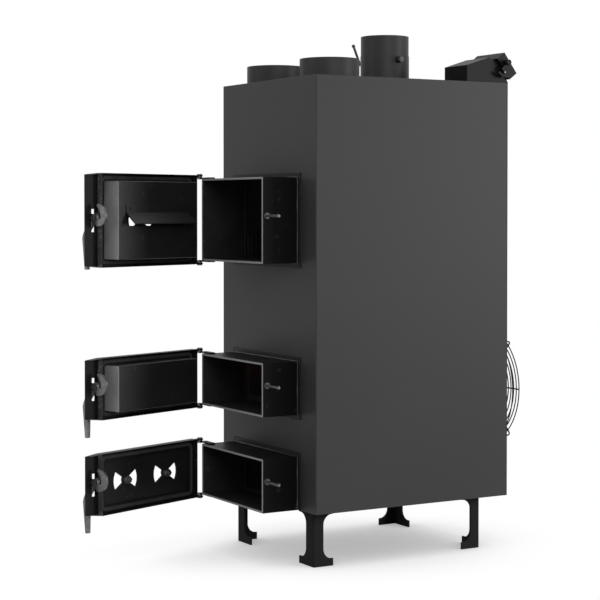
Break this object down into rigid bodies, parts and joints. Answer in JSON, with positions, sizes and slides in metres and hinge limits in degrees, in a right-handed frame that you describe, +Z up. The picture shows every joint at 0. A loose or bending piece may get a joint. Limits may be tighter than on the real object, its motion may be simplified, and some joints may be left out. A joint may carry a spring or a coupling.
{
  "type": "forced-air stove",
  "caption": "Welded wood-burning air heater in a tall sheet casing: front ports with hinged doors and latches, round warm air outlets, flue with damper, rear cleaning hatch and axial fan.",
  "frame": {"origin": "on the floor, under the middle of the casing", "axes": "+Z up along the flue, -Y out of the front with its doors, +X to the right of someone facing the front"},
  "size_m": [0.496, 1.1879, 1.373],
  "materials": {
    "casing_paint": "satin dark grey paint",
    "leg_paint": "satin black paint",
    "port_paint": "black heat paint",
    "door_paint": "black heat paint",
    "flue_paint": "satin black paint",
    "raw_iron": "raw, sooty",
    "firebrick": "fired clay",
    "rope": "braided glass rope",
    "zinc": "bright zinc",
    "lever_steel": "bare cut steel",
    "fan_black": "satin black",
    "guard_wire": "black coated wire"
  },
  "bodies": {
    "stove": {"front_panel": "casing_paint", "left_panel": "casing_paint", "right_panel": "casing_paint", "back_panel": "casing_paint", "top_panel": "casing_paint", "bottom_panel": "casing_paint", "leg_front_left": "leg_paint", "leg_front_right": "leg_paint", "leg_back_left": "leg_paint", "leg_back_right": "leg_paint", "upper_port": "port_paint", "middle_port": "port_paint", "lower_port": "port_paint", "port_trims": "port_paint", "furnace_body": "raw_iron", "smoke_box": "raw_iron", "smoke_baffle": "raw_iron", "firebrick_lining": "firebrick", "brick_ledges": "raw_iron", "grate": "raw_iron", "air_fins": "raw_iron", "outlet_collars": "casing_paint", "flue": "flue_paint", "damper_bushes": "zinc", "hatch_neck": "flue_paint", "hatch_pin": "zinc", "fan_ring": "fan_black", "fan_guard": "guard_wire", "guard_hoops": "guard_wire", "fan_motor": "fan_black", "fan_screws": "zinc", "hinge_lugs": "port_paint", "hinge_pins": "zinc", "latch_pegs": "zinc", "peg_nuts": "zinc"},
    "upper_door": {"upper_door": "door_paint", "upper_heat_box": "door_paint", "upper_gasket": "rope", "upper_deflector": "door_paint", "upper_bolts": "zinc"},
    "upper_latch": {"upper_latch": "lever_steel"},
    "upper_regulator": {"upper_regulator": "door_paint"},
    "middle_door": {"middle_door": "door_paint", "middle_heat_box": "door_paint", "middle_gasket": "rope", "middle_bolts": "zinc"},
    "middle_latch": {"middle_latch": "lever_steel"},
    "lower_door": {"lower_door": "door_paint", "lower_gasket": "rope", "lower_bolts": "zinc"},
    "lower_latch": {"lower_latch": "lever_steel"},
    "left_regulator": {"left_regulator": "door_paint"},
    "right_regulator": {"right_regulator": "door_paint"},
    "damper": {"damper_plate": "raw_iron", "damper_spindle": "zinc"},
    "hatch_door": {"hatch_door": "flue_paint", "hatch_pad": "rope", "hatch_gasket": "rope"},
    "hatch_latch": {"hatch_latch": "flue_paint"},
    "fan": {"fan_impeller": "fan_black"}
  },
  "joints": [
    {"name": "upper_door_hinge", "type": "hinge", "parent": "stove", "child": "upper_door", "pos_m": [-0.197, -0.3958, 0.878], "axis": [0, 0, 1], "range_deg": [-46, 69]},
    {"name": "middle_door_hinge", "type": "hinge", "parent": "stove", "child": "middle_door", "pos_m": [-0.197, -0.3958, 0.452], "axis": [0, 0, 1], "range_deg": [-46, 69]},
    {"name": "lower_door_hinge", "type": "hinge", "parent": "stove", "child": "lower_door", "pos_m": [-0.197, -0.3958, 0.21], "axis": [0, 0, 1], "range_deg": [-46, 69]},
    {"name": "upper_latch_pivot", "type": "hinge", "parent": "upper_door", "child": "upper_latch", "pos_m": [-0.07166, -0.75526, 0.8855], "axis": [-0.3584, 0.9336, 0], "range_deg": [0, 60]},
    {"name": "middle_latch_pivot", "type": "hinge", "parent": "middle_door", "child": "middle_latch", "pos_m": [-0.07166, -0.75526, 0.4595], "axis": [-0.3584, 0.9336, 0], "range_deg": [0, 60]},
    {"name": "lower_latch_pivot", "type": "hinge", "parent": "lower_door", "child": "lower_latch", "pos_m": [-0.07166, -0.75526, 0.2175], "axis": [-0.3584, 0.9336, 0], "range_deg": [0, 60]},
    {"name": "upper_regulator_turn", "type": "hinge", "parent": "upper_door", "child": "upper_regulator", "pos_m": [-0.13797, -0.59647, 0.878], "axis": [-0.9336, -0.3584, 0], "range_deg": [0, 90]},
    {"name": "left_regulator_turn", "type": "hinge", "parent": "lower_door", "child": "left_regulator", "pos_m": [-0.17068, -0.51124, 0.21], "axis": [-0.9336, -0.3584, 0], "range_deg": [0, 90]},
    {"name": "right_regulator_turn", "type": "hinge", "parent": "lower_door", "child": "right_regulator", "pos_m": [-0.11765, -0.64939, 0.21], "axis": [-0.9336, -0.3584, 0], "range_deg": [0, 90]},
    {"name": "damper_turn", "type": "hinge", "parent": "stove", "child": "damper", "pos_m": [0, 0.068, 1.308], "axis": [1, 0, 0], "range_deg": [0, 90]},
    {"name": "hatch_hinge", "type": "hinge", "parent": "stove", "child": "hatch_door", "pos_m": [0.0895, 0.30091, 1.28085], "axis": [0, -0.6018, 0.7986], "range_deg": [0, 95]},
    {"name": "hatch_latch_turn", "type": "hinge", "parent": "hatch_door", "child": "hatch_latch", "pos_m": [0.225, 0.30672, 1.29807], "axis": [1, 0, 0], "range_deg": [0, 60]},
    {"name": "fan_spin", "type": "hinge", "parent": "stove", "child": "fan", "pos_m": [0, 0.35, 0.412], "axis": [0, 1, 0], "continuous": true}
  ]
}
